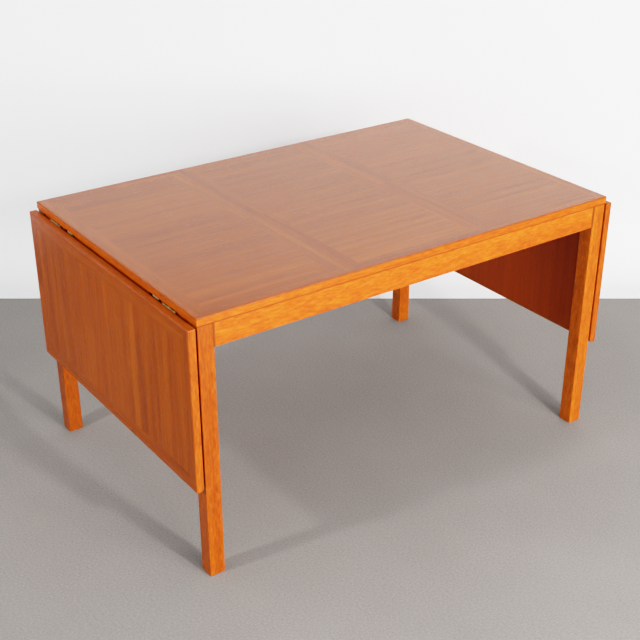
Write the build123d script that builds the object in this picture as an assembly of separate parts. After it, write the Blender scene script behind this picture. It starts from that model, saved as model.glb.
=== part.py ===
from build123d import *
import os

# Drop leaf dining table with two end leaves, in millimetres.
# X runs along the table, Y across it and Z up. The origin is on the floor, under the
# centre of the top. "Left" is -X, "right" is +X, "front" is -Y and "back" is +Y.

# ---- Driving dimensions ----------------------------------------------------------------
TOP_LENGTH = 1300.0
TOP_WIDTH = 870.0
TABLE_HEIGHT = 720.0
BOARD_THICKNESS = 20.0
LEAF_LENGTH = 435.0
LEG_SIZE = 42.0
LEG_INSET = 2.0
APRON_HEIGHT = 64.0
APRON_THICKNESS = 20.0
FRONT_APRON_RECESS = 1.0
END_APRON_RECESS = 2.0

# Board make-up: a core with solid edge lippings, veneered on both faces.
VENEER = 0.7
LIPPING_WIDTH = 5.0
FREE_LIPPING_WIDTH = 12.0
BAND_WIDTH = 40.0
MODULE_COUNT = 3
ARRIS_RADIUS = 2.0
LOWER_ARRIS_RADIUS = 2.0
FREE_EDGE_RADIUS = 9.0

# Legs and aprons.
LEG_ARRIS_RADIUS = 2.0
FOOT_CHAMFER = 1.5
APRON_ARRIS_RADIUS = 1.2

# Butt hinges between the top and each leaf.
HINGE_LENGTH = 60.0
HINGE_CENTRE_Y = 311.0
HINGE_FLAP_WIDTH = 22.0
HINGE_FLAP_THICKNESS = 1.8
HINGE_OFFSET = 3.0
BARREL_RADIUS = 2.7
PIN_RADIUS = 1.25
PIN_HEAD_RADIUS = 2.0
PIN_HEAD_LENGTH = 0.6
KNUCKLE_COUNT = 5
KNUCKLE_GAP = 0.3
LEAF_JOINT_GAP = 0.5
RUNNING_CLEARANCE = 0.05
BARREL_CLEARANCE = 0.5
HOUSING_END_GAP = 1.0
HOUSING_DEPTH_GAP = 0.4
FLAP_SCREW_X = 13.5
FLAP_SCREW_YS = (-21.0, 0.0, 21.0)

# Lopers, the bearers that draw out to carry a raised leaf.
LOPER_WIDTH = 28.0
LOPER_HEIGHT = 36.8
LOPER_LENGTH = 520.0
LOPER_CENTRE_Y = 235.0
LOPER_SLOT_DEPTH = 37.0
LOPER_END_X = 647.0
LOPER_CHAMFER = 3.0
LOPER_NOTCH_WIDTH = 60.0
GUIDE_SLOT_WIDTH = 29.0
STOP_PIN_RADIUS = 4.0
STOP_PIN_INSET = 20.0
STOP_PIN_DROP = 14.0
STOP_PIN_DEPTH = 27.0

# Guide rails, which tie the long aprons together and carry the lopers' tails.
GUIDE_RAIL_X = 400.0
GUIDE_RAIL_THICKNESS = 20.0
GUIDE_RAIL_HEIGHT = 60.0

# Corner blocks and fixings.
CORNER_BLOCK_ARM = 60.0
CORNER_BLOCK_HEIGHT = 55.0
DOWEL_RADIUS = 4.0
DOWEL_LENGTH = 50.0
RAIL_DOWEL_LENGTH = 36.0
RAIL_DOWEL_IN_APRON = 12.0
DOWEL_END_GAP = 0.5
DOWEL_CHAMFER = 1.0
APRON_DOWEL_HEIGHTS = (16.0, 48.0)
RAIL_DOWEL_HEIGHTS = (9.0, 30.0)
COUNTERBORE_RADIUS = 5.0
BLOCK_SCREW_OFFSET = 36.0
BLOCK_SCREW_GRIP = 14.0
TOP_SCREW_OFFSET = 10.0
TOP_SCREW_GRIP = 35.0
RAIL_TOP_SCREW_Y = 330.0
SCREW_TIP = 3.0
SCREW_SLOT_WIDTH = 0.8
SCREW_SLOT_DEPTH = 0.8

# How far a cutting solid runs past the face it opens.
OVERCUT = 5.0

# Screws as (length, shank radius, head radius).
HINGE_SCREW = (14.0, 1.4, 2.8)
BLOCK_SCREW = (25.0, 2.0, 4.0)
TOP_SCREW = (45.0, 2.0, 4.0)

# ---- Derived dimensions ----------------------------------------------------------------
HALF_LENGTH = TOP_LENGTH / 2
HALF_WIDTH = TOP_WIDTH / 2
UNDERSIDE_Z = TABLE_HEIGHT - BOARD_THICKNESS
APRON_LOW_Z = UNDERSIDE_Z - APRON_HEIGHT

LEG_OUTER_X = HALF_LENGTH - LEG_INSET
LEG_OUTER_Y = HALF_WIDTH - LEG_INSET
LEG_INNER_X = LEG_OUTER_X - LEG_SIZE
LEG_INNER_Y = LEG_OUTER_Y - LEG_SIZE

LONG_APRON_OUTER_Y = LEG_OUTER_Y - FRONT_APRON_RECESS
LONG_APRON_INNER_Y = LONG_APRON_OUTER_Y - APRON_THICKNESS
LONG_APRON_MID_Y = (LONG_APRON_OUTER_Y + LONG_APRON_INNER_Y) / 2
END_APRON_OUTER_X = LEG_OUTER_X - END_APRON_RECESS
END_APRON_INNER_X = END_APRON_OUTER_X - APRON_THICKNESS
END_APRON_MID_X = (END_APRON_OUTER_X + END_APRON_INNER_X) / 2

PIVOT_X = HALF_LENGTH + LEAF_JOINT_GAP / 2
PIVOT_Z = UNDERSIDE_Z - HINGE_OFFSET
LEAF_NEAR_X = HALF_LENGTH + LEAF_JOINT_GAP
LEAF_FAR_X = LEAF_NEAR_X + LEAF_LENGTH

SLOT_LOW_Z = UNDERSIDE_Z - LOPER_SLOT_DEPTH
LOPER_TAIL_X = LOPER_END_X - LOPER_LENGTH
STOP_PIN_X = LOPER_TAIL_X + STOP_PIN_INSET

BLOCK_LOW_Z = UNDERSIDE_Z - CORNER_BLOCK_HEIGHT
RAIL_LOW_Z = UNDERSIDE_Z - GUIDE_RAIL_HEIGHT

SIDES = {"left": -1, "right": 1}
ROWS = {"front": -1, "back": 1}
nodes = {}


# ---- Helpers ---------------------------------------------------------------------------
def block(corner, opposite):
    """A rectangular solid between two opposite corners, given in any order."""
    low = [min(a, b) for a, b in zip(corner, opposite)]
    high = [max(a, b) for a, b in zip(corner, opposite)]
    size = [b - a for a, b in zip(low, high)]
    return Pos(*low) * Box(*size, align=(Align.MIN, Align.MIN, Align.MIN))


def plate(outline, low_z, high_z):
    """An upright prism over a flat polygon of (x, y) points."""
    face = make_face(Polyline(*outline, close=True))
    return Pos(0, 0, low_z) * extrude(face, amount=high_z - low_z)


def turned(profile):
    """A solid of revolution about Z from (radius, height) points."""
    face = Plane.XZ * make_face(Polyline(*profile, close=True))
    return revolve(face, Axis.Z, 360)


def rod(radius, length):
    """A cylinder that stands on the origin."""
    return Cylinder(radius, length, align=(Align.CENTER, Align.CENTER, Align.MIN))


def mirrored(shape, side, row):
    """The same shape in the corner given by the two signs."""
    if side < 0:
        shape = mirror(shape, about=Plane.YZ)
    if row < 0:
        shape = mirror(shape, about=Plane.XZ)
    return shape


def at_side(shape, side):
    """A shape made for the right end, turned half round for the left end."""
    return shape if side > 0 else Rot(0, 0, 180) * shape


def hanging(shape):
    """A right-hand leaf piece, turned from its raised place to its hanging one."""
    turn = Pos(PIVOT_X, 0, PIVOT_Z) * Rot(0, 90, 0) * Pos(-PIVOT_X, 0, -PIVOT_Z)
    return turn * shape


# ---- Screws and dowels -----------------------------------------------------------------
def screw_body(size, grow=0.0):
    """A countersunk screw: head face at the origin, tip along +Z."""
    length, shank, head = size
    head_height = head - shank
    return turned([
        (0, -grow),
        (head + 2 * grow, -grow),
        (shank + grow, head_height),
        (shank + grow, length - SCREW_TIP),
        (0, length + grow),
    ])


def slotted_screw(size):
    """The screw itself, with a straight driver slot in its head."""
    head = size[2]
    slot = block((-head, -SCREW_SLOT_WIDTH / 2, 0), (head, SCREW_SLOT_WIDTH / 2, SCREW_SLOT_DEPTH))
    return screw_body(size) - slot


def screw_hole(size):
    """The hole that the screw sits in."""
    return screw_body(size, RUNNING_CLEARANCE)


def dowel(length):
    """A beech dowel along +Z, chamfered at both ends."""
    pin = rod(DOWEL_RADIUS, length)
    return chamfer(pin.edges().filter_by(GeomType.CIRCLE), DOWEL_CHAMFER)


def dowel_hole(length):
    """The pair of holes that a dowel fills, a little deeper than it."""
    hole = rod(DOWEL_RADIUS + RUNNING_CLEARANCE, length + 2 * DOWEL_END_GAP)
    return Pos(0, 0, -DOWEL_END_GAP) * hole


def dowel_places():
    """Each dowel's place and length: where the aprons and rails meet their neighbours."""
    along_x = Rot(0, 90, 0)
    along_y = Rot(-90, 0, 0)
    half = DOWEL_LENGTH / 2
    places = []
    for side in SIDES.values():
        for row in ROWS.values():
            for height in APRON_DOWEL_HEIGHTS:
                z = APRON_LOW_Z + height
                x = side * LEG_INNER_X - half
                places.append((Pos(x, row * LONG_APRON_MID_Y, z) * along_x, DOWEL_LENGTH))
                y = row * LEG_INNER_Y - half
                places.append((Pos(side * END_APRON_MID_X, y, z) * along_y, DOWEL_LENGTH))
            for height in RAIL_DOWEL_HEIGHTS:
                reach = RAIL_DOWEL_IN_APRON if row > 0 else RAIL_DOWEL_LENGTH - RAIL_DOWEL_IN_APRON
                y = row * LONG_APRON_INNER_Y + reach - RAIL_DOWEL_LENGTH
                spot = Pos(side * GUIDE_RAIL_X, y, RAIL_LOW_Z + height)
                places.append((spot * along_y, RAIL_DOWEL_LENGTH))
    return places


DOWEL_PLACES = dowel_places()
DOWEL_HOLES = [place * dowel_hole(length) for place, length in DOWEL_PLACES]

# The corner block's screws, for the right-hand back corner: (place, size).
LONG_ARM_X = LEG_INNER_X - BLOCK_SCREW_OFFSET
END_ARM_Y = LEG_INNER_Y - BLOCK_SCREW_OFFSET
BLOCK_MID_Z = (BLOCK_LOW_Z + UNDERSIDE_Z) / 2
BLOCK_SCREW_PLACES = [
    Pos(LONG_ARM_X, LONG_APRON_INNER_Y - BLOCK_SCREW_GRIP, BLOCK_MID_Z) * Rot(-90, 0, 0),
    Pos(END_APRON_INNER_X - BLOCK_SCREW_GRIP, END_ARM_Y, BLOCK_MID_Z) * Rot(0, 90, 0),
]

# Screws up into the top: one in each corner block and three in each guide rail.
TOP_SCREW_HEAD_Z = UNDERSIDE_Z - TOP_SCREW_GRIP
BLOCK_TOP_SCREW = (LEG_INNER_X - TOP_SCREW_OFFSET, LEG_INNER_Y - TOP_SCREW_OFFSET)
TOP_SCREW_PLACES = []
for side in SIDES.values():
    for row in ROWS.values():
        TOP_SCREW_PLACES.append((side * BLOCK_TOP_SCREW[0], row * BLOCK_TOP_SCREW[1]))
    for y in (-RAIL_TOP_SCREW_Y, 0, RAIL_TOP_SCREW_Y):
        TOP_SCREW_PLACES.append((side * GUIDE_RAIL_X, y))
TOP_SCREW_HOLES = [Pos(x, y, TOP_SCREW_HEAD_Z) * screw_hole(TOP_SCREW) for x, y in TOP_SCREW_PLACES]
TOP_SCREW_BORES = [
    Pos(x, y, APRON_LOW_Z) * rod(COUNTERBORE_RADIUS, TOP_SCREW_HEAD_Z - APRON_LOW_Z)
    for x, y in TOP_SCREW_PLACES
]


# ---- Legs, aprons and corner blocks ----------------------------------------------------
def leg(side, row):
    """A square leg with eased arrises, a chamfered foot and dowel holes."""
    post = block(
        (side * LEG_INNER_X, row * LEG_INNER_Y, 0),
        (side * LEG_OUTER_X, row * LEG_OUTER_Y, UNDERSIDE_Z),
    )
    post = fillet(post.edges().filter_by(Axis.Z), LEG_ARRIS_RADIUS)
    post = chamfer(post.faces().sort_by(Axis.Z)[0].edges(), FOOT_CHAMFER)
    return post - DOWEL_HOLES


def block_screw_holes(side, row):
    """Holes and counterbores of one corner block's two horizontal screws."""
    cuts = []
    for place in BLOCK_SCREW_PLACES:
        cuts.append(mirrored(place * screw_hole(BLOCK_SCREW), side, row))
        bore = Rot(180, 0, 0) * rod(COUNTERBORE_RADIUS, CORNER_BLOCK_ARM)
        cuts.append(mirrored(place * bore, side, row))
    return cuts


BLOCK_CUTS = [cut for side in SIDES.values() for row in ROWS.values()
              for cut in block_screw_holes(side, row)]


def long_apron(row):
    """The front or back apron, between two legs."""
    board = block(
        (-LEG_INNER_X, row * LONG_APRON_OUTER_Y, APRON_LOW_Z),
        (LEG_INNER_X, row * LONG_APRON_INNER_Y, UNDERSIDE_Z),
    )
    lower = board.edges().filter_by(Axis.X).sort_by(Axis.Z)[:2]
    board = fillet(lower, APRON_ARRIS_RADIUS)
    return board - DOWEL_HOLES - BLOCK_CUTS


def end_apron(side):
    """An end apron, notched for the lopers and housed for the hinge flaps."""
    board = block(
        (side * END_APRON_OUTER_X, -LEG_INNER_Y, APRON_LOW_Z),
        (side * END_APRON_INNER_X, LEG_INNER_Y, UNDERSIDE_Z),
    )
    lower = board.edges().filter_by(Axis.Y).sort_by(Axis.Z)[:2]
    board = fillet(lower, APRON_ARRIS_RADIUS)
    reach = (side * (END_APRON_INNER_X - OVERCUT), side * (END_APRON_OUTER_X + OVERCUT))
    cuts = []
    for row in ROWS.values():
        loper_y = row * LOPER_CENTRE_Y
        cuts.append(block(
            (reach[0], loper_y - LOPER_NOTCH_WIDTH / 2, SLOT_LOW_Z),
            (reach[1], loper_y + LOPER_NOTCH_WIDTH / 2, UNDERSIDE_Z + OVERCUT),
        ))
        hinge_y = row * HINGE_CENTRE_Y
        housing = HINGE_LENGTH / 2 + HOUSING_END_GAP
        housing_low_z = UNDERSIDE_Z - HINGE_FLAP_THICKNESS - HOUSING_DEPTH_GAP
        cuts.append(block(
            (reach[0], hinge_y - housing, housing_low_z),
            (reach[1], hinge_y + housing, UNDERSIDE_Z + OVERCUT),
        ))
    return board - cuts - DOWEL_HOLES - BLOCK_CUTS


def corner_block(side, row):
    """A glued and screwed block across the inside corner, notched round the leg."""
    arm_x = LEG_INNER_X - CORNER_BLOCK_ARM
    arm_y = LEG_INNER_Y - CORNER_BLOCK_ARM
    outline = [
        (LEG_INNER_X, LONG_APRON_INNER_Y),
        (arm_x, LONG_APRON_INNER_Y),
        (END_APRON_INNER_X, arm_y),
        (END_APRON_INNER_X, LEG_INNER_Y),
        (LEG_INNER_X, LEG_INNER_Y),
    ]
    body = mirrored(plate(outline, BLOCK_LOW_Z, UNDERSIDE_Z), side, row)
    return body - BLOCK_CUTS - TOP_SCREW_HOLES - TOP_SCREW_BORES


for side_name, side in SIDES.items():
    for row_name, row in ROWS.items():
        nodes[f"leg_{row_name}_{side_name}"] = leg(side, row)
        nodes[f"corner_block_{row_name}_{side_name}"] = corner_block(side, row)
    nodes[f"apron_{side_name}"] = end_apron(side)
for row_name, row in ROWS.items():
    nodes[f"apron_{row_name}"] = long_apron(row)


# ---- Guide rails and lopers ------------------------------------------------------------
def guide_rail(side):
    """A cross rail between the long aprons, with a slot for each loper."""
    half = GUIDE_RAIL_THICKNESS / 2
    centre = side * GUIDE_RAIL_X
    rail = block(
        (centre - half, -LONG_APRON_INNER_Y, RAIL_LOW_Z),
        (centre + half, LONG_APRON_INNER_Y, UNDERSIDE_Z),
    )
    slots = []
    for row in ROWS.values():
        loper_y = row * LOPER_CENTRE_Y
        slots.append(block(
            (centre - half - OVERCUT, loper_y - GUIDE_SLOT_WIDTH / 2, SLOT_LOW_Z),
            (centre + half + OVERCUT, loper_y + GUIDE_SLOT_WIDTH / 2, UNDERSIDE_Z + OVERCUT),
        ))
    return rail - slots - DOWEL_HOLES - TOP_SCREW_HOLES - TOP_SCREW_BORES


def stop_pin_place(side, row):
    """Where a loper's stop pin starts, below the loper's tail."""
    return Pos(side * STOP_PIN_X, row * LOPER_CENTRE_Y, SLOT_LOW_Z - STOP_PIN_DROP)


def loper(side, row):
    """A bearer that rests in its slots, pushed home, with a hole for its stop pin."""
    y = row * LOPER_CENTRE_Y
    bar = block(
        (side * LOPER_TAIL_X, y - LOPER_WIDTH / 2, SLOT_LOW_Z),
        (side * LOPER_END_X, y + LOPER_WIDTH / 2, SLOT_LOW_Z + LOPER_HEIGHT),
    )
    outer_end = bar.faces().sort_by(Axis.X)[0 if side < 0 else -1]
    bar = chamfer(outer_end.edges(), LOPER_CHAMFER)
    hole = rod(STOP_PIN_RADIUS + RUNNING_CLEARANCE, STOP_PIN_DROP + STOP_PIN_DEPTH)
    return bar - stop_pin_place(side, row) * hole


stop_pins = []
for side_name, side in SIDES.items():
    nodes[f"guide_rail_{side_name}"] = guide_rail(side)
    for row_name, row in ROWS.items():
        nodes[f"loper_{row_name}_{side_name}"] = loper(side, row)
        pin = rod(STOP_PIN_RADIUS, STOP_PIN_DROP + STOP_PIN_DEPTH - DOWEL_END_GAP)
        stop_pins.append(stop_pin_place(side, row) * pin)
nodes["loper_stop_pins"] = Compound(stop_pins)


# ---- Hinges ----------------------------------------------------------------------------
KNUCKLE_PITCH = HINGE_LENGTH / KNUCKLE_COUNT


def knuckle_span(index):
    """The low and high Y of one knuckle of a hinge centred on the origin."""
    low = -HINGE_LENGTH / 2 + index * KNUCKLE_PITCH
    return low + KNUCKLE_GAP / 2, low + KNUCKLE_PITCH - KNUCKLE_GAP / 2


def hinge_flap(own_knuckles):
    """A flap lying under a board on +X of the pivot, which is at the origin.

    The flap's upper face is HINGE_OFFSET above the pivot, so it lies on the board.
    """
    near_x = LEAF_JOINT_GAP / 2
    half = HINGE_LENGTH / 2
    flap = block(
        (near_x, -half, HINGE_OFFSET - HINGE_FLAP_THICKNESS),
        (near_x + HINGE_FLAP_WIDTH, half, HINGE_OFFSET),
    )
    clear = BARREL_RADIUS + BARREL_CLEARANCE
    relief = []
    barrels = []
    for index in range(KNUCKLE_COUNT):
        low, high = knuckle_span(index)
        if index in own_knuckles:
            knuckle = Cylinder(BARREL_RADIUS, high - low, rotation=(90, 0, 0))
            barrels.append(Pos(0, (low + high) / 2, 0) * knuckle)
        else:
            low -= KNUCKLE_GAP
            high += KNUCKLE_GAP
            relief.append(block((-clear, low, -clear), (clear, high, clear + OVERCUT)))
    flap = flap - relief + barrels
    bore = Cylinder(PIN_RADIUS + RUNNING_CLEARANCE, HINGE_LENGTH + OVERCUT, rotation=(90, 0, 0))
    return flap - bore - [place * screw_hole(HINGE_SCREW) for place in flap_screw_places()]


def flap_screw_places():
    """Screws that go up through a flap on +X of the pivot."""
    z = HINGE_OFFSET - HINGE_FLAP_THICKNESS
    return [Pos(LEAF_JOINT_GAP / 2 + FLAP_SCREW_X, y, z) for y in FLAP_SCREW_YS]


def hinge_pin():
    """The pin, with a small peened head at each end."""
    half = HINGE_LENGTH / 2
    shank = Cylinder(PIN_RADIUS, HINGE_LENGTH, rotation=(90, 0, 0))
    head = Cylinder(PIN_HEAD_RADIUS, PIN_HEAD_LENGTH, rotation=(90, 0, 0))
    offset = half + PIN_HEAD_LENGTH / 2
    return shank + Pos(0, offset, 0) * head + Pos(0, -offset, 0) * head


TOP_KNUCKLES = (0, 2, 4)
LEAF_KNUCKLES = (1, 3)
top_flap = Rot(0, 0, 180) * hinge_flap(TOP_KNUCKLES)
leaf_flap = hinge_flap(LEAF_KNUCKLES)
pins = []
top_hinge_screws = []
top_hinge_holes = []
leaf_hinge_screws = []
leaf_hinge_holes = []
for row in ROWS.values():
    spot = Pos(PIVOT_X, row * HINGE_CENTRE_Y, PIVOT_Z)
    for place in flap_screw_places():
        leaf_hinge_screws.append(hanging(spot * place * slotted_screw(HINGE_SCREW)))
        leaf_hinge_holes.append(spot * place * screw_hole(HINGE_SCREW))
        turned_place = spot * Rot(0, 0, 180) * place
        for side in SIDES.values():
            top_hinge_screws.append(at_side(turned_place * slotted_screw(HINGE_SCREW), side))
            top_hinge_holes.append(at_side(turned_place * screw_hole(HINGE_SCREW), side))

for side_name, side in SIDES.items():
    for row_name, row in ROWS.items():
        spot = Pos(PIVOT_X, side * row * HINGE_CENTRE_Y, PIVOT_Z)
        nodes[f"hinge_top_flap_{row_name}_{side_name}"] = at_side(spot * top_flap, side)
        nodes[f"hinge_leaf_flap_{row_name}_{side_name}"] = at_side(hanging(spot * leaf_flap), side)
        pins.append(at_side(spot * hinge_pin(), side))
    nodes[f"hinge_screws_{side_name}_leaf"] = Compound([at_side(s, side) for s in leaf_hinge_screws])
nodes["hinge_pins"] = Compound(pins)
nodes["hinge_screws_top"] = Compound(top_hinge_screws)


# ---- The boards: top and leaves --------------------------------------------------------
def frame_strips(outer, inner, low_z, high_z):
    """Four mitred strips between two rectangles, each (low x, low y, high x, high y)."""
    ox0, oy0, ox1, oy1 = outer
    ix0, iy0, ix1, iy1 = inner
    outlines = [
        [(ox0, oy0), (ox1, oy0), (ix1, iy0), (ix0, iy0)],
        [(ox0, oy1), (ox1, oy1), (ix1, iy1), (ix0, iy1)],
        [(ox0, oy0), (ox0, oy1), (ix0, iy1), (ix0, iy0)],
        [(ox1, oy0), (ox1, oy1), (ix1, iy1), (ix1, iy0)],
    ]
    return [plate(outline, low_z, high_z) for outline in outlines]


def shrunk(rectangle, left, front, right, back):
    """A rectangle pulled in by a margin on each side."""
    x0, y0, x1, y1 = rectangle
    return (x0 + left, y0 + front, x1 - right, y1 - back)


def sheet(rectangle, low_z, high_z):
    """A flat rectangular sheet."""
    x0, y0, x1, y1 = rectangle
    return block((x0, y0, low_z), (x1, y1, high_z))


def banded_module(module, veneered):
    """One framed veneer panel: the field, and its four mitred bands."""
    field = shrunk(module, BAND_WIDTH, BAND_WIDTH, BAND_WIDTH, BAND_WIDTH)
    low_z = TABLE_HEIGHT - VENEER
    whole = sheet(veneered, low_z, TABLE_HEIGHT)
    strips = [strip & whole for strip in frame_strips(module, field, low_z, TABLE_HEIGHT)]
    return sheet(field, low_z, TABLE_HEIGHT), strips


# The fixed top.
top_plan = (-HALF_LENGTH, -HALF_WIDTH, HALF_LENGTH, HALF_WIDTH)
top_inner = shrunk(top_plan, *[LIPPING_WIDTH] * 4)
top_slab = sheet(top_plan, UNDERSIDE_Z, TABLE_HEIGHT)
upper_loop = top_slab.faces().sort_by(Axis.Z)[-1].edges()
top_slab = fillet(upper_loop + top_slab.edges().filter_by(Axis.Z), ARRIS_RADIUS)
top_slab = fillet(top_slab.faces().sort_by(Axis.Z)[0].edges(), LOWER_ARRIS_RADIUS)
top_strips = frame_strips(top_plan, top_inner, UNDERSIDE_Z, TABLE_HEIGHT)
for name, strip in zip(("front", "back", "left", "right"), top_strips):
    nodes[f"top_lipping_{name}"] = strip & top_slab

top_holes = TOP_SCREW_HOLES + top_hinge_holes
nodes["top_core"] = sheet(top_inner, UNDERSIDE_Z + VENEER, TABLE_HEIGHT - VENEER) - top_holes
nodes["top_underside_veneer"] = sheet(top_inner, UNDERSIDE_Z, UNDERSIDE_Z + VENEER) - top_holes

MODULE_LENGTH = TOP_LENGTH / MODULE_COUNT
for index, name in enumerate(("left", "middle", "right")):
    start = -HALF_LENGTH + index * MODULE_LENGTH
    module = (start, -HALF_WIDTH, start + MODULE_LENGTH, HALF_WIDTH)
    field, bands = banded_module(module, top_inner)
    nodes[f"top_veneer_field_{name}"] = field
    nodes[f"top_veneer_bands_{name}"] = Compound(bands)

# A leaf, made raised at the right-hand end and then hung.
leaf_plan = (LEAF_NEAR_X, -HALF_WIDTH, LEAF_FAR_X, HALF_WIDTH)
leaf_inner = shrunk(leaf_plan, LIPPING_WIDTH, LIPPING_WIDTH, FREE_LIPPING_WIDTH, LIPPING_WIDTH)
leaf_slab = sheet(leaf_plan, UNDERSIDE_Z, TABLE_HEIGHT)
free_lower_arris = leaf_slab.edges().filter_by(Axis.Y).sort_by(Axis.Z)[:2].sort_by(Axis.X)[-1]
leaf_slab = fillet(free_lower_arris, FREE_EDGE_RADIUS)
end_faces = leaf_slab.faces().sort_by(Axis.Y)
upper_edges = leaf_slab.faces().sort_by(Axis.Z)[-1].edges().filter_by(Axis.Y)
leaf_slab = fillet(upper_edges + end_faces[0].edges() + end_faces[-1].edges(), ARRIS_RADIUS)
leaf_strips = frame_strips(leaf_plan, leaf_inner, UNDERSIDE_Z, TABLE_HEIGHT)
front_strip, back_strip, hinge_strip, free_strip = [strip & leaf_slab for strip in leaf_strips]
leaf_field, leaf_bands = banded_module(leaf_plan, leaf_inner)

leaf_pieces = {
    "core": [sheet(leaf_inner, UNDERSIDE_Z + VENEER, TABLE_HEIGHT - VENEER) - leaf_hinge_holes],
    "cross_lippings": [hinge_strip, free_strip],
    "end_lippings": [front_strip, back_strip],
    "veneer_field": [leaf_field],
    "veneer_bands": leaf_bands,
    "inner_veneer": [sheet(leaf_inner, UNDERSIDE_Z, UNDERSIDE_Z + VENEER) - leaf_hinge_holes],
}
for side_name, side in SIDES.items():
    for piece_name, solids in leaf_pieces.items():
        placed = [at_side(hanging(solid), side) for solid in solids]
        nodes[f"{side_name}_leaf_{piece_name}"] = placed[0] if len(placed) == 1 else Compound(placed)

# ---- Fixings ---------------------------------------------------------------------------
nodes["frame_dowels"] = Compound([place * dowel(length) for place, length in DOWEL_PLACES])
nodes["corner_block_screws"] = Compound([
    mirrored(place * slotted_screw(BLOCK_SCREW), side, row)
    for side in SIDES.values() for row in ROWS.values() for place in BLOCK_SCREW_PLACES
])
nodes["top_fixing_screws"] = Compound([
    Pos(x, y, TOP_SCREW_HEAD_Z) * slotted_screw(TOP_SCREW) for x, y in TOP_SCREW_PLACES
])

# ---- Export ----------------------------------------------------------------------------
os.makedirs("parts", exist_ok=True)
for name, shape in nodes.items():
    export_step(shape, f"parts/{name}.step")
    print(name, len(shape.solids()), [round(v, 1) for v in shape.bounding_box().size])
print("nodes:", len(nodes))
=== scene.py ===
import math
from typing import NamedTuple

import bpy
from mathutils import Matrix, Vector


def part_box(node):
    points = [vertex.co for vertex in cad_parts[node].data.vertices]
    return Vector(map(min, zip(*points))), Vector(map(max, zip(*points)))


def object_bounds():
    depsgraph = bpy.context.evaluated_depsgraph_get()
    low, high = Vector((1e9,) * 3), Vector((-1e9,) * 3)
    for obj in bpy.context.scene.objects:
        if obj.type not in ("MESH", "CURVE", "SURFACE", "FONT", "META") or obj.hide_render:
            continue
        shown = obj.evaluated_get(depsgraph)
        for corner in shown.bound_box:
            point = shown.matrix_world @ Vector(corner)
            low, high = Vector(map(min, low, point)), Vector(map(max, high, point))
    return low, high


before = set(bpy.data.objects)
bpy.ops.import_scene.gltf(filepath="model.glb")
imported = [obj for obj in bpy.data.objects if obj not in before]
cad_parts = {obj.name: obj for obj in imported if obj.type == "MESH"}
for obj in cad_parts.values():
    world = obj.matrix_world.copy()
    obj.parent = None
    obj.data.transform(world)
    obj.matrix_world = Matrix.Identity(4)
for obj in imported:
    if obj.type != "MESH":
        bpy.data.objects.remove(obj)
cad_low, cad_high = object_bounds()

# Looks of a teak drop leaf table: oiled veneer on the top and leaves, solid legs and aprons,
# beech inside, brass hinges. Lengths are in metres, colours are scene-linear.
# Left is -X, right is +X, front is -Y, back is +Y.

X, Y, Z = 0, 1, 2

# ---- Camera and room -------------------------------------------------------------------
CAMERA_YAW = math.radians(35.18)
CAMERA_PITCH = math.radians(28.455)
CAMERA_DISTANCE = 3.4236
CAMERA_AIM = Vector((-0.035, -0.035, -0.090))    # from the middle of the table's box
CAMERA_LENS = 66.76        # millimetres, on a sensor of SENSOR_WIDTH
CAMERA_SHIFT = 0.0495
SENSOR_WIDTH = 36.0

FLOOR_REACH = 14.0
PAPER_GAP = 0.113          # from the hanging leaf's far corner to the edge of the white paper
WALL_GAP = 0.42            # from the same corner to the wall that the paper runs up
WALL_WIDTH = 7.0
WALL_HEIGHT = 1.62
COVE_RADIUS = 0.22
COVE_STEPS = 12
SHADOW_LINE_HALF = 0.003    # half the width of the painted shadow line where the carpet meets the paper
CARPET = (0.350, 0.333, 0.319)
CARPET_SHADE = (0.226, 0.216, 0.208)
PAPER = (0.88, 0.89, 0.90)

WALLS_GLOW = 1.64          # of the room all round, low down
CEILING_GLOW = 0.625       # and overhead
GLOW_FADE = (0.12, 0.50)   # where one gives way to the other, as the sine of the height
GLOW_COLOUR = (0.975, 1.0, 1.025)
LAMP_COLOUR = (1.0, 0.975, 0.945)
BACKDROP_SEEN = (1.45, 1.47, 1.50)    # what the camera sees past the floor and the paper

# The lights: place, power, and width and height, all aimed at the middle of the table.
LIGHTS = {
    "front_softbox": (Vector((0.2, -4.0, 1.35)), 202.0, (2.6, 1.8)),
    "front_lamp": (Vector((-0.05, -3.7, 2.28)), 84.0, (0.24, 0.24)),
    "left_lamp": (Vector((-3.4, -0.19, 2.18)), 46.0, (0.24, 0.24)),
}

# Film: a soft toe, straight up to SHOULDER_START, then easing towards white.
TOE = 0.05
SHOULDER_START = 0.40
SHOULDER_WIDTH = 0.65
FILM_WHITE = 3.0
FILM_STOPS = (0.02, 0.05, 0.09, 0.15, 0.25, 0.45, 0.60, 0.80, 1.05, 1.45, 2.05, 2.70)


class Wood(NamedTuple):
    """How one kind of wood looks: its darkest, middle and lightest tone, and its grain."""
    dark: tuple
    middle: tuple
    light: tuple
    band: float          # width of the broad tone bands
    run: float           # streaks in a metre along the grain
    contrast: float      # how far the bands move the tone
    fine: float          # how far the fine streaks move the tone
    mottle: float        # how far soft clouds across the grain move the tone
    flecks: float        # how dark the long flecks of late wood are
    pores: float         # how dark the open pores are
    roughness: float
    ior: float


# Legs, and the leaves' end lippings.
TEAK_SOLID = Wood(
    dark=(0.31, 0.054, 0.003), middle=(0.43, 0.088, 0.005), light=(0.56, 0.135, 0.010),
    band=0.024, run=42.0, contrast=1.0, fine=2.2, mottle=0.8,
    flecks=0.36, pores=0.55, roughness=0.38, ior=1.48)
# Aprons, and a calmer cut of the same for the top's lippings.
TEAK_APRON = TEAK_SOLID._replace(
    dark=(0.41, 0.073, 0.004), middle=(0.55, 0.114, 0.006), light=(0.67, 0.165, 0.012), mottle=0.9)
TEAK_LIPPING = TEAK_APRON._replace(mottle=0.6)
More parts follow.
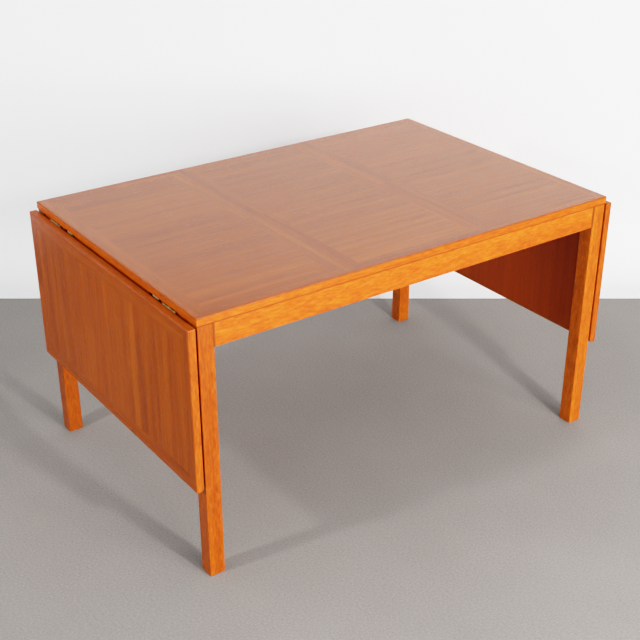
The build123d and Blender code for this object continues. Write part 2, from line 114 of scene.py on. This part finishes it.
# The leaves' cross lippings.
TEAK_EDGE = TEAK_SOLID._replace(
    dark=(0.30, 0.060, 0.005), middle=(0.39, 0.084, 0.008), light=(0.47, 0.110, 0.013), ior=1.38)
# Show veneer of the top and of the leaves, then the backing veneer of both. The top's sheen
# (ior) is set stronger than the leaves' to suit the main view, not because the finishes differ.
TEAK_TOP = Wood(
    dark=(0.24, 0.056, 0.004), middle=(0.325, 0.082, 0.005), light=(0.41, 0.115, 0.009),
    band=0.019, run=4.5, contrast=1.3, fine=1.4, mottle=0.35,
    flecks=0.34, pores=0.45, roughness=0.17, ior=1.52)
TEAK_LEAF = Wood(
    dark=(0.29, 0.053, 0.002), middle=(0.395, 0.081, 0.002), light=(0.49, 0.121, 0.004),
    band=0.026, run=6.0, contrast=1.8, fine=1.6, mottle=0.35,
    flecks=0.20, pores=0.40, roughness=0.22, ior=1.37)
TEAK_BACKING = TEAK_LEAF._replace(
    dark=(0.30, 0.040, 0.002), middle=(0.39, 0.056, 0.003), light=(0.47, 0.076, 0.005),
    contrast=0.9, fine=0.9, flecks=0.14, roughness=0.50, ior=1.50)
# Pieces inside the frame.
BEECH = Wood(
    dark=(0.42, 0.25, 0.13), middle=(0.55, 0.36, 0.20), light=(0.64, 0.45, 0.28),
    band=0.018, run=8.0, contrast=1.2, fine=0.9, mottle=0.5,
    flecks=0.12, pores=0.15, roughness=0.55, ior=1.45)

WANDER = 0.014             # how far the grain strays sideways
RELIEF = 0.00004           # depth of the open grain
WORN_SHARE = 0.30          # how much of the colour rubbing takes off a bare arris
# A dark colour painted into the wood in narrow lines: dirt and painted shade where legs, aprons and top
# meet, and a plain darkening along the upper arris of the top's lippings.
DIRT_AND_SHADE = (0.100, 0.022, 0.002)
DIRT_AND_SHADE_WIDTH = 0.0045
JOINT_DIRT_AND_SHADE = 0.65         # strength of the dirt and painted shade where legs, aprons and top meet
ARRIS_DARKENING = 0.40         # and of the darkening along the upper arris of the top's lippings

# Tints that multiply a wood's colour, as no two leaves of veneer are alike.
PLAIN = (1.00, 1.00, 1.00)
WARM = (1.05, 1.05, 1.00)
PALE = (1.05, 1.08, 1.08)
GOLD = (1.08, 1.10, 1.02)
PINK = (1.05, 1.00, 0.98)
RED = (1.00, 0.97, 0.94)
SOFT = (0.96, 0.94, 0.94)
DEEP = (0.94, 0.90, 0.90)
# The legs' tints are chosen for the main view. They partly make up for light that falls
# on the legs differently here, so they aren't a record of four different woods.
LEG_TINTS = {
    "leg_front_left": (0.96, 0.95, 0.95),
    "leg_front_right": (1.12, 1.18, 1.00),
    "leg_back_left": (0.80, 0.77, 0.78),
    "leg_back_right": (1.12, 1.18, 1.00),
}

# Veneer of the three framed modules of the top: the bands' tints, as bands() takes them,
# and the tints of the field's strips, from front to back.
STRIP_JOINTS = (0.2835, 0.614)
TOP_MODULES = {
    "left": ((WARM, PALE, RED, RED), (WARM, SOFT, PLAIN)),
    "middle": ((DEEP, PINK, RED, RED), (GOLD, PLAIN, SOFT)),
    "right": ((SOFT, WARM, RED, RED), (PLAIN, PLAIN, PINK)),
}
# And of the one module of a leaf.
LEAF_STRIP_JOINTS = (0.22, 0.45, 0.72)
LEAF_MODULE = ((SOFT, PLAIN, PLAIN, DEEP), (SOFT, PLAIN, WARM, DEEP))


class Net:
    """A material's node tree, with one short call for each kind of node used here."""

    def __init__(self, name):
        self.material = bpy.data.materials.new(name)
        self.material.use_nodes = True
        self.tree = self.material.node_tree
        self.tree.nodes.clear()

    def put(self, socket, value):
        """Links a socket, or sets a plain value on one."""
        if isinstance(value, bpy.types.NodeSocket):
            self.tree.links.new(value, socket)
        elif socket.type == "RGBA":
            socket.default_value = (*value, 1.0)
        else:
            socket.default_value = value

    def node(self, kind, inputs, **settings):
        made = self.tree.nodes.new(kind)
        for key, value in settings.items():
            setattr(made, key, value)
        for key, value in inputs.items():
            self.put(made.inputs[key], value)
        return made

    def math(self, operation, *values):
        return self.node("ShaderNodeMath", dict(enumerate(values)), operation=operation).outputs[0]

    def vector(self, operation, *values):
        made = self.node("ShaderNodeVectorMath", dict(enumerate(values)), operation=operation)
        return made.outputs["Value" if operation == "DOT_PRODUCT" else "Vector"]

    def point(self):
        """Place on the object at rest, in the row frame."""
        return self.node("ShaderNodeTexCoord", {}).outputs["Object"]

    def split(self, vector):
        return list(self.node("ShaderNodeSeparateXYZ", {0: vector}).outputs)

    def join(self, x, y, z):
        return self.node("ShaderNodeCombineXYZ", {0: x, 1: y, 2: z}).outputs[0]

    def noise(self, vector, scale, detail=3.0, roughness=0.55):
        stretched = self.vector("MULTIPLY", vector, scale)
        inputs = {"Vector": stretched, "Scale": 1.0, "Detail": detail, "Roughness": roughness}
        return self.node("ShaderNodeTexNoise", inputs).outputs[0]

    def span(self, value, low, high, to_low=0.0, to_high=1.0):
        """Maps low..high to to_low..to_high, smoothly, and no further."""
        made = self.node("ShaderNodeMapRange", {"Value": value}, interpolation_type="SMOOTHSTEP")
        limits = {"From Min": low, "From Max": high, "To Min": to_low, "To Max": to_high}
        for key, number in limits.items():
            self.put(made.inputs[key], number)
        return made.outputs[0]

    def mix(self, factor, first, second, kind="RGBA", mode="MIX"):
        made = self.node("ShaderNodeMix", {0: factor}, data_type=kind, blend_type=mode)
        a, b, result = {"FLOAT": (2, 3, 0), "VECTOR": (4, 5, 1), "RGBA": (6, 7, 2)}[kind]
        self.put(made.inputs[a], first)
        self.put(made.inputs[b], second)
        return made.outputs[result]

    def ramp(self, value, colours):
        made = self.node("ShaderNodeValToRGB", {0: value})
        stops = made.color_ramp.elements
        while len(stops) < len(colours):
            stops.new(0.5)
        for i, colour in enumerate(colours):
            stops[i].position = i / (len(colours) - 1)
            stops[i].color = (*colour, 1.0)
        return made.outputs[0]

    def bump(self, height, distance):
        return self.node("ShaderNodeBump", {"Height": height, "Distance": distance}).outputs[0]

    def surface(self, inputs):
        """Ends the tree with one Principled shader."""
        shader = self.node("ShaderNodeBsdfPrincipled", inputs)
        self.node("ShaderNodeOutputMaterial", {"Surface": shader.outputs[0]})
        return self.material


# ---- Boxes of the pieces ---------------------------------------------------------------
def union_box(names):
    boxes = [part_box(name) for name in names]
    low = Vector(min(box[0][axis] for box in boxes) for axis in (X, Y, Z))
    high = Vector(max(box[1][axis] for box in boxes) for axis in (X, Y, Z))
    return low, high


def names_with(prefix):
    return sorted(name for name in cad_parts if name.startswith(prefix))


def face_gaps(net, point, box, axes):
    """Distance inwards from the nearer of the box's two faces, for each axis."""
    low, high = box
    gaps = []
    for axis in axes:
        from_middle = net.math("SUBTRACT", point[axis], (low[axis] + high[axis]) / 2)
        half = (high[axis] - low[axis]) / 2
        gaps.append(net.math("SUBTRACT", half, net.math("ABSOLUTE", from_middle)))
    return gaps


def edge_wear(net, vector, box, reach=0.005):
    """1 on an arris of the box, falling to 0 at reach from it, broken up as rubbing is.
    The middle one of the three gaps is small only where two faces are near."""
    a, b, c = face_gaps(net, net.split(vector), box, (X, Y, Z))
    farther = net.math("MINIMUM", net.math("MAXIMUM", a, b), c)
    middle = net.math("MAXIMUM", net.math("MINIMUM", a, b), farther)
    rubbed = net.span(net.noise(vector, (22, 22, 22), 4), 0.40, 0.66)
    return net.math("MULTIPLY", net.span(middle, 0.0, reach, 1.0, 0.0), rubbed)


# ---- Wood ------------------------------------------------------------------------------
def turned(net, vector, axis, seed):
    """The point with the grain first, moved by the seed so that no two boards share a figure."""
    parts = net.split(vector)
    ordered = [parts[axis]] + [parts[k] for k in (X, Y, Z) if k != axis]
    return net.vector("ADD", net.join(*ordered), (0.37 * seed, 0.211 * seed, 0.53 * seed))


def finish_wood(net, look, grain, worn, tint=None, dirt_and_shade=None):
    """Colour, roughness and relief of wood whose grain runs along the first part of grain."""
    wander = net.math("SUBTRACT", net.noise(grain, (0.9, 4, 4), 1), 0.5)
    u, v, w = net.split(grain)
    grain = net.join(u, net.math("MULTIPLY_ADD", wander, WANDER, v), w)

    per_band = 1 / look.band
    broad = net.noise(grain, (0.022 * per_band, per_band, per_band), 3, 0.5)
    fine = net.noise(grain, (look.run, 190, 190), 4, 0.65)
    mottle = net.noise(grain, (18, 40, 40), 4, 0.65)
    tone = net.math("MULTIPLY_ADD", broad, look.contrast, 0.5 - look.contrast / 2)
    tone = net.math("ADD", tone, net.math("MULTIPLY_ADD", fine, look.fine, -look.fine / 2))
    tone = net.math("ADD", tone, net.math("MULTIPLY_ADD", mottle, look.mottle, -look.mottle / 2))
    colour = net.ramp(tone, (look.dark, look.middle, look.light))

    pores = net.span(net.noise(grain, (45, 1150, 1150), 1), 0.60, 0.72)
    streaks = net.span(net.noise(grain, (1.3 * look.run, 170, 170), 2), 0.57, 0.72)
    pore_shade = net.math("MULTIPLY", pores, look.pores)
    shade = net.math("MAXIMUM", pore_shade, net.math("MULTIPLY", streaks, look.flecks))
    colour = net.mix(shade, colour, tuple(0.35 * part for part in look.dark))
    if tint is not None:
        colour = net.mix(1.0, colour, tint, mode="MULTIPLY")
    bare = tuple(1.1 * part for part in look.light)
    colour = net.mix(net.math("MULTIPLY", worn, WORN_SHARE), colour, bare)
    # Darkens the colour towards a dark brown: dirt and painted shade where parts meet, and along the
    # upper arris of the top's lippings.
    if dirt_and_shade is not None:
        colour = net.mix(dirt_and_shade, colour, DIRT_AND_SHADE)

    roughness = net.math("MULTIPLY_ADD", mottle, 0.10, look.roughness - 0.05)
    roughness = net.math("MULTIPLY_ADD", pores, 0.15, roughness)
    roughness = net.math("MULTIPLY_ADD", worn, 0.10, roughness)
    height = net.math("MULTIPLY_ADD", fine, 0.5, net.math("MULTIPLY", pores, -1.0))
    return net.surface({
        "Base Color": colour,
        "Roughness": roughness,
        "IOR": look.ior,
        "Normal": net.bump(height, RELIEF),
    })


def joint_dirt_and_shade(net, vector, planes, above, amount):
    """Dark dirt and painted shade in the corner where parts meet: the amount on each
    (axis, place) plane, from the height above upwards, and 0 a little way off it."""
    point = net.split(vector)
    dirt_and_shade = 0.0
    for axis, place in planes:
        off = net.math("ABSOLUTE", net.math("SUBTRACT", point[axis], place))
        dirt_and_shade = net.math("MAXIMUM", dirt_and_shade, net.span(off, DIRT_AND_SHADE_WIDTH / 2, DIRT_AND_SHADE_WIDTH, 1.0, 0.0))
    dirt_and_shade = net.math("MULTIPLY", dirt_and_shade, amount)
    return net.math("MULTIPLY", dirt_and_shade, net.math("GREATER_THAN", point[Z], above))


def board(name, look, axis, box, seed, planes=(), above=0.0, amount=JOINT_DIRT_AND_SHADE, tint=None):
    """One solid board or plain sheet of veneer, with its grain along the axis.
    planes, above and amount go to joint_dirt_and_shade, which darkens the wood near the planes: dirt
    and painted shade in the joints."""
    net = Net(name)
    vector = net.point()
    dirt_and_shade = joint_dirt_and_shade(net, vector, planes, above, amount) if planes else None
    grain = turned(net, vector, axis, seed)
    return finish_wood(net, look, grain, edge_wear(net, vector, box), tint, dirt_and_shade)


def strips(name, look, axis, across, box, panel, seed, joints, tints):
    """A veneered field of leaves of veneer side by side. joints are shares of its width."""
    net = Net(name)
    vector = net.point()
    place = net.split(vector)[across]
    low, high = box[0][across], box[1][across]
    tint = tints[0]
    shift = 0.0
    for share, colour in zip(joints, tints[1:]):
        past = net.math("GREATER_THAN", place, low + share * (high - low))
        tint = net.mix(past, tint, colour)
        shift = net.math("MULTIPLY_ADD", past, 1.7, shift)
    grain = net.vector("ADD", turned(net, vector, axis, seed), net.join(shift, shift, 0.0))
    return finish_wood(net, look, grain, edge_wear(net, vector, panel), tint)


def bands(name, look, ends, sides, box, panel, seed, tints):
    """Four mitred bands round a field. Those at the ends of one axis run along the other.
    tints go to the bands at the low end, high end, low side and high side."""
    net = Net(name)
    vector = net.point()
    place = net.split(vector)
    end_gap, side_gap = face_gaps(net, place, box, (ends, sides))
    at_end = net.math("LESS_THAN", end_gap, side_gap)
    far_end = net.math("GREATER_THAN", place[ends], (box[0][ends] + box[1][ends]) / 2)
    far_side = net.math("GREATER_THAN", place[sides], (box[0][sides] + box[1][sides]) / 2)
    tint = net.mix(at_end, net.mix(far_side, tints[2], tints[3]), net.mix(far_end, tints[0], tints[1]))
    side_bands = turned(net, vector, ends, seed)
    end_bands = turned(net, vector, sides, seed + 4)
    grain = net.mix(at_end, side_bands, end_bands, "VECTOR")
    shift = net.math("MULTIPLY_ADD", far_end, 2.3, net.math("MULTIPLY", far_side, 3.9))
    grain = net.vector("ADD", grain, net.join(shift, shift, 0.0))
    return finish_wood(net, look, grain, edge_wear(net, vector, panel), tint)


# ---- Other materials -------------------------------------------------------------------
def core_board(name):
    """Pressed wood chips."""
    net = Net(name)
    vector = net.point()
    chips = net.node("ShaderNodeTexVoronoi", {"Vector": vector, "Scale": 320.0}).outputs["Color"]
    cloudy = net.math("MULTIPLY", net.noise(vector, (40, 40, 40)), 0.3)
    tone = net.math("MULTIPLY_ADD", net.split(chips)[0], 0.7, cloudy)
    return net.surface({
        "Base Color": net.ramp(tone, ((0.22, 0.13, 0.06), (0.40, 0.27, 0.15), (0.55, 0.42, 0.27))),
        "Roughness": net.span(tone, 0.0, 1.0, 0.9, 0.7),
        "Normal": net.bump(tone, 0.0004),
    })


def metal(name, bright, tarnish, brushed, roughness):
    """Worn metal, with fine scratches to the scale brushed, and tarnish in patches."""
    net = Net(name)
    vector = net.point()
    scratches = net.noise(vector, brushed, 3, 0.6)
    patches = net.span(net.noise(vector, (60, 60, 60), 4, 0.6), 0.40, 0.62)
    colour = net.mix(net.math("MULTIPLY", patches, 0.65), bright, tarnish)
    rough = net.math("MULTIPLY_ADD", scratches, 0.30, roughness - 0.15)
    return net.surface({
        "Base Color": colour,
        "Metallic": 1.0,
        "Roughness": net.math("MULTIPLY_ADD", patches, 0.18, rough),
        "Normal": net.bump(scratches, 0.00006),
    })


def brass(name):
    return metal(name, (0.48, 0.36, 0.18), (0.14, 0.08, 0.035), (900, 60, 900), 0.36)


def steel(name):
    return metal(name, (0.62, 0.62, 0.60), (0.28, 0.26, 0.24), (700, 700, 700), 0.38)


# ---- Dressing the table ----------------------------------------------------------------
def wear(name, material):
    """Gives the material to the CAD node."""
    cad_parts[name].material_slots[0].material = material


def dress_frame():
    """Legs and aprons, with dirt and painted shade in the joints between them and under the top."""
    low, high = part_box("apron_front")
    ends = [(X, low[X]), (X, high[X])]
    apron_low, top = low[Z], (Z, high[Z])
    low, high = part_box("apron_left")
    sides = [(Y, low[Y]), (Y, high[Y])]
    for seed, name in enumerate(names_with("leg_")):
        planes = [top] + ends + sides
        tint = LEG_TINTS[name]
        wear(name, board(name, TEAK_SOLID, Z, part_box(name), seed + 1, planes, apron_low, tint=tint))
    for seed, name in enumerate(names_with("apron_")):
        axis, joints = (X, ends) if name in ("apron_front", "apron_back") else (Y, sides)
        planes = [top] + joints
        wear(name, board(name, TEAK_APRON, axis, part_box(name), seed + 11, planes, apron_low - 0.01))


def dress_inside():
    """Blocks, rails, bearers and dowels. The blocks' screws are metal, and come later."""
    for seed, name in enumerate(names_with("corner_block_")):
        if name != "corner_block_screws":
            wear(name, board(name, BEECH, X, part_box(name), seed + 21))
    for seed, name in enumerate(names_with("guide_rail_")):
        wear(name, board(name, BEECH, Y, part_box(name), seed + 31))
    for seed, name in enumerate(names_with("loper_")):
        wear(name, board(name, BEECH, X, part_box(name), seed + 41))
    wear("frame_dowels", board("frame_dowels", BEECH, X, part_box("frame_dowels"), 51))


def dress_top():
    """The fixed top: lippings, three veneer modules, underside and core."""
    panel = union_box(names_with("top_lipping_") + names_with("top_veneer_") + ["top_underside_veneer"])
    # The lippings are made darker along their upper arris, near the top's upper face.
    arris = [(Z, panel[1][Z])]
    for seed, name in enumerate(names_with("top_lipping_")):
        axis = X if name in ("top_lipping_front", "top_lipping_back") else Y
        wear(name, board(name, TEAK_LIPPING, axis, panel, seed + 61, arris, amount=ARRIS_DARKENING))
    for seed, (module, (band_tints, strip_tints)) in enumerate(TOP_MODULES.items()):
        name = f"top_veneer_bands_{module}"
        wear(name, bands(name, TEAK_TOP, X, Y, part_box(name), panel, seed + 71, band_tints))
        name = f"top_veneer_field_{module}"
        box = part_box(name)
        wear(name, strips(name, TEAK_TOP, X, Y, box, panel, seed + 81, STRIP_JOINTS, strip_tints))
    wear("top_underside_veneer", board("top_underside_veneer", TEAK_BACKING, X, panel, 91))
    wear("top_core", core_board("top_core"))


def dress_leaf(side, seed):
    """One leaf: lippings, its veneer module, inner veneer and core."""
    panel = union_box(names_with(f"{side}_leaf_"))
    band_tints, strip_tints = LEAF_MODULE
    for part, axis in (("cross_lippings", Y), ("end_lippings", Z)):
        name = f"{side}_leaf_{part}"
        wear(name, board(name, TEAK_EDGE if axis == Y else TEAK_SOLID, axis, panel, seed + axis))
    name = f"{side}_leaf_veneer_bands"
    wear(name, bands(name, TEAK_LEAF, Z, Y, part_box(name), panel, seed + 3, band_tints))
    name = f"{side}_leaf_veneer_field"
    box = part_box(name)
    wear(name, strips(name, TEAK_LEAF, Z, Y, box, panel, seed + 4, LEAF_STRIP_JOINTS, strip_tints))
    name = f"{side}_leaf_inner_veneer"
    wear(name, board(name, TEAK_BACKING, Z, panel, seed + 5))
    wear(f"{side}_leaf_core", core_board(f"{side}_leaf_core"))


def dress_metal():
    for name in names_with("hinge_"):
        wear(name, brass(name))
    for name in ("corner_block_screws", "top_fixing_screws"):
        wear(name, steel(name))


# ---- Floor, light and camera -----------------------------------------------------------
def camera_axes():
    """The camera's direction in plan, and its full direction."""
    plan = Vector((math.sin(CAMERA_YAW), math.cos(CAMERA_YAW), 0.0))
    return plan, plan * math.cos(CAMERA_PITCH) - Vector((0.0, 0.0, math.sin(CAMERA_PITCH)))


def behind_table(gap):
    """How far from the origin, along the camera's plan direction, a line behind the table is."""
    plan, _ = camera_axes()
    corners = [(x, y) for x in (cad_low.x, cad_high.x) for y in (cad_low.y, cad_high.y)]
    return max(plan.x * x + plan.y * y for x, y in corners) + gap


def floor_material():
    """Grey loop carpet, with a painted shadow line where it meets the paper."""
    net = Net("carpet")
    vector = net.point()
    plan, _ = camera_axes()
    behind = net.math("SUBTRACT", net.vector("DOT_PRODUCT", vector, plan), behind_table(PAPER_GAP))
    # A dark line painted on the carpet where it meets the paper: painted shade at the foot of the
    # paper.
    joint = net.span(net.math("ABSOLUTE", behind), 0.0, SHADOW_LINE_HALF, 1.0, 0.0)
    loops = net.noise(vector, (150, 250, 200), 3, 0.8)
    cloudy = net.noise(vector, (2.2, 2.2, 2.2), 4)
    tone = net.math("MULTIPLY_ADD", loops, 2.2, net.math("MULTIPLY_ADD", cloudy, 0.5, -0.85))
    carpet = net.mix(tone, CARPET_SHADE, CARPET)
    return net.surface({
        "Base Color": net.mix(net.math("MULTIPLY", joint, 0.6), carpet, (0.05, 0.05, 0.05)),
        "Roughness": 0.95,
        "Specular IOR Level": 0.1,
        "Normal": net.bump(loops, 0.0006),
    })


def paper_material():
    """White studio paper, seen from its front only."""
    net = Net("paper")
    tone = net.noise(net.point(), (1.1, 1.1, 1.1), 3)
    shaded = tuple(0.96 * part for part in PAPER)
    white = net.node("ShaderNodeBsdfDiffuse", {"Color": net.mix(tone, shaded, PAPER)})
    clear = net.node("ShaderNodeBsdfTransparent", {})
    behind = net.node("ShaderNodeNewGeometry", {}).outputs["Backfacing"]
    shader = net.node("ShaderNodeMixShader", {0: behind, 1: white.outputs[0], 2: clear.outputs[0]})
    net.node("ShaderNodeOutputMaterial", {"Surface": shader.outputs[0]})
    return net.material


def stage_mesh(name, corners, faces, material):
    mesh = bpy.data.meshes.new(name)
    mesh.from_pydata(corners, [], faces)
    mesh.materials.append(material)
    mesh.shade_smooth()
    made = bpy.data.objects.new(name, mesh)
    bpy.context.scene.collection.objects.link(made)


def make_floor():
    """A plain floor, with the table's feet on it."""
    signs = ((-1, -1), (1, -1), (1, 1), (-1, 1))
    corners = [(x * FLOOR_REACH, y * FLOOR_REACH, cad_low.z) for x, y in signs]
    stage_mesh("studio_floor", corners, [(0, 1, 2, 3)], floor_material())


def make_paper():
    """White paper that starts on the floor behind the table and sweeps up a wall."""
    plan, _ = camera_axes()
    across = Vector((plan.y, -plan.x, 0.0))
    near, wall = behind_table(PAPER_GAP), behind_table(WALL_GAP)
    profile = [(near, 0.001)]
    for step in range(COVE_STEPS + 1):
        angle = math.pi / 2 * step / COVE_STEPS
        out = wall - COVE_RADIUS * (1 - math.sin(angle))
        profile.append((out, 0.001 + COVE_RADIUS * (1 - math.cos(angle))))
    profile.append((wall, WALL_HEIGHT))
    corners = []
    for distance, height in profile:
        middle = plan * distance + Vector((0.0, 0.0, cad_low.z + height))
        corners.append(middle - across * WALL_WIDTH / 2)
        corners.append(middle + across * WALL_WIDTH / 2)
    faces = [(2 * k, 2 * k + 1, 2 * k + 3, 2 * k + 2) for k in range(len(profile) - 1)]
    stage_mesh("studio_paper", corners, faces, paper_material())


def make_world():
    """A room that is bright low down and dimmer overhead, and that looks white where the camera
    sees past the floor."""
    world = bpy.data.worlds.new("studio")
    world.use_nodes = True
    bpy.context.scene.world = world
    tree = world.node_tree
    tree.nodes.clear()
    upward = tree.nodes.new("ShaderNodeSeparateXYZ")
    tree.links.new(tree.nodes.new("ShaderNodeTexCoord").outputs["Generated"], upward.inputs[0])
    glow = tree.nodes.new("ShaderNodeMapRange")
    glow.interpolation_type = "SMOOTHSTEP"
    low, high = GLOW_FADE
    glow_range = {"From Min": low, "From Max": high, "To Min": WALLS_GLOW, "To Max": CEILING_GLOW}
    for key, value in glow_range.items():
        glow.inputs[key].default_value = value
    tree.links.new(upward.outputs["Z"], glow.inputs["Value"])
    lit = tree.nodes.new("ShaderNodeBackground")
    lit.inputs["Color"].default_value = (*GLOW_COLOUR, 1.0)
    tree.links.new(glow.outputs[0], lit.inputs["Strength"])
    seen = tree.nodes.new("ShaderNodeBackground")
    seen.inputs["Color"].default_value = (*BACKDROP_SEEN, 1.0)
    pick = tree.nodes.new("ShaderNodeMixShader")
    tree.links.new(tree.nodes.new("ShaderNodeLightPath").outputs["Is Camera Ray"], pick.inputs[0])
    tree.links.new(lit.outputs[0], pick.inputs[1])
    tree.links.new(seen.outputs[0], pick.inputs[2])
    tree.links.new(pick.outputs[0], tree.nodes.new("ShaderNodeOutputWorld").inputs["Surface"])


def make_light(name, place, power, size):
    """A rectangular light, aimed at the middle of the table."""
    data = bpy.data.lights.new(name, "AREA")
    data.energy = power
    data.color = LAMP_COLOUR
    data.shape = "RECTANGLE"
    data.size, data.size_y = size
    light = bpy.data.objects.new(name, data)
    light.location = place
    aim = (cad_low + cad_high) / 2 - place
    light.rotation_euler = aim.to_track_quat("-Z", "Y").to_euler()
    bpy.context.scene.collection.objects.link(light)


def make_camera():
    _, direction = camera_axes()
    data = bpy.data.cameras.new("camera")
    data.sensor_width = SENSOR_WIDTH
    data.lens = CAMERA_LENS
    data.shift_y = CAMERA_SHIFT
    camera = bpy.data.objects.new("camera", data)
    aim = (cad_low + cad_high) / 2 + CAMERA_AIM
    camera.location = aim - direction * CAMERA_DISTANCE
    camera.rotation_euler = direction.to_track_quat("-Z", "Y").to_euler()
    bpy.context.scene.collection.objects.link(camera)
    bpy.context.scene.camera = camera


def film(exposure):
    """What the film makes of a scene-linear brightness: deeper shadows, and highlights
    that ease to white."""
    exposure = math.hypot(exposure, TOE) - TOE
    room = 1.0 - SHOULDER_START
    past = max(exposure - SHOULDER_START, 0.0)
    return min(exposure, SHOULDER_START) + room * (1.0 - math.exp(-past / SHOULDER_WIDTH))


def set_film():
    """The film's curve, as a camera gives bright wood and white walls."""
    view = bpy.context.scene.view_settings
    view.view_transform = "Standard"
    view.look = "None"
    view.use_curve_mapping = True
    mapping = view.curve_mapping
    mapping.white_level = (FILM_WHITE,) * 3
    curve = mapping.curves[3]
    for exposure in FILM_STOPS:
        curve.points.new(exposure / FILM_WHITE, film(exposure))
    mapping.update()


dress_frame()
dress_inside()
dress_top()
dress_leaf("left", 101)
dress_leaf("right", 111)
dress_metal()
make_floor()
make_paper()
make_world()
for name, (place, power, size) in LIGHTS.items():
    make_light(name, place, power, size)
make_camera()
set_film()
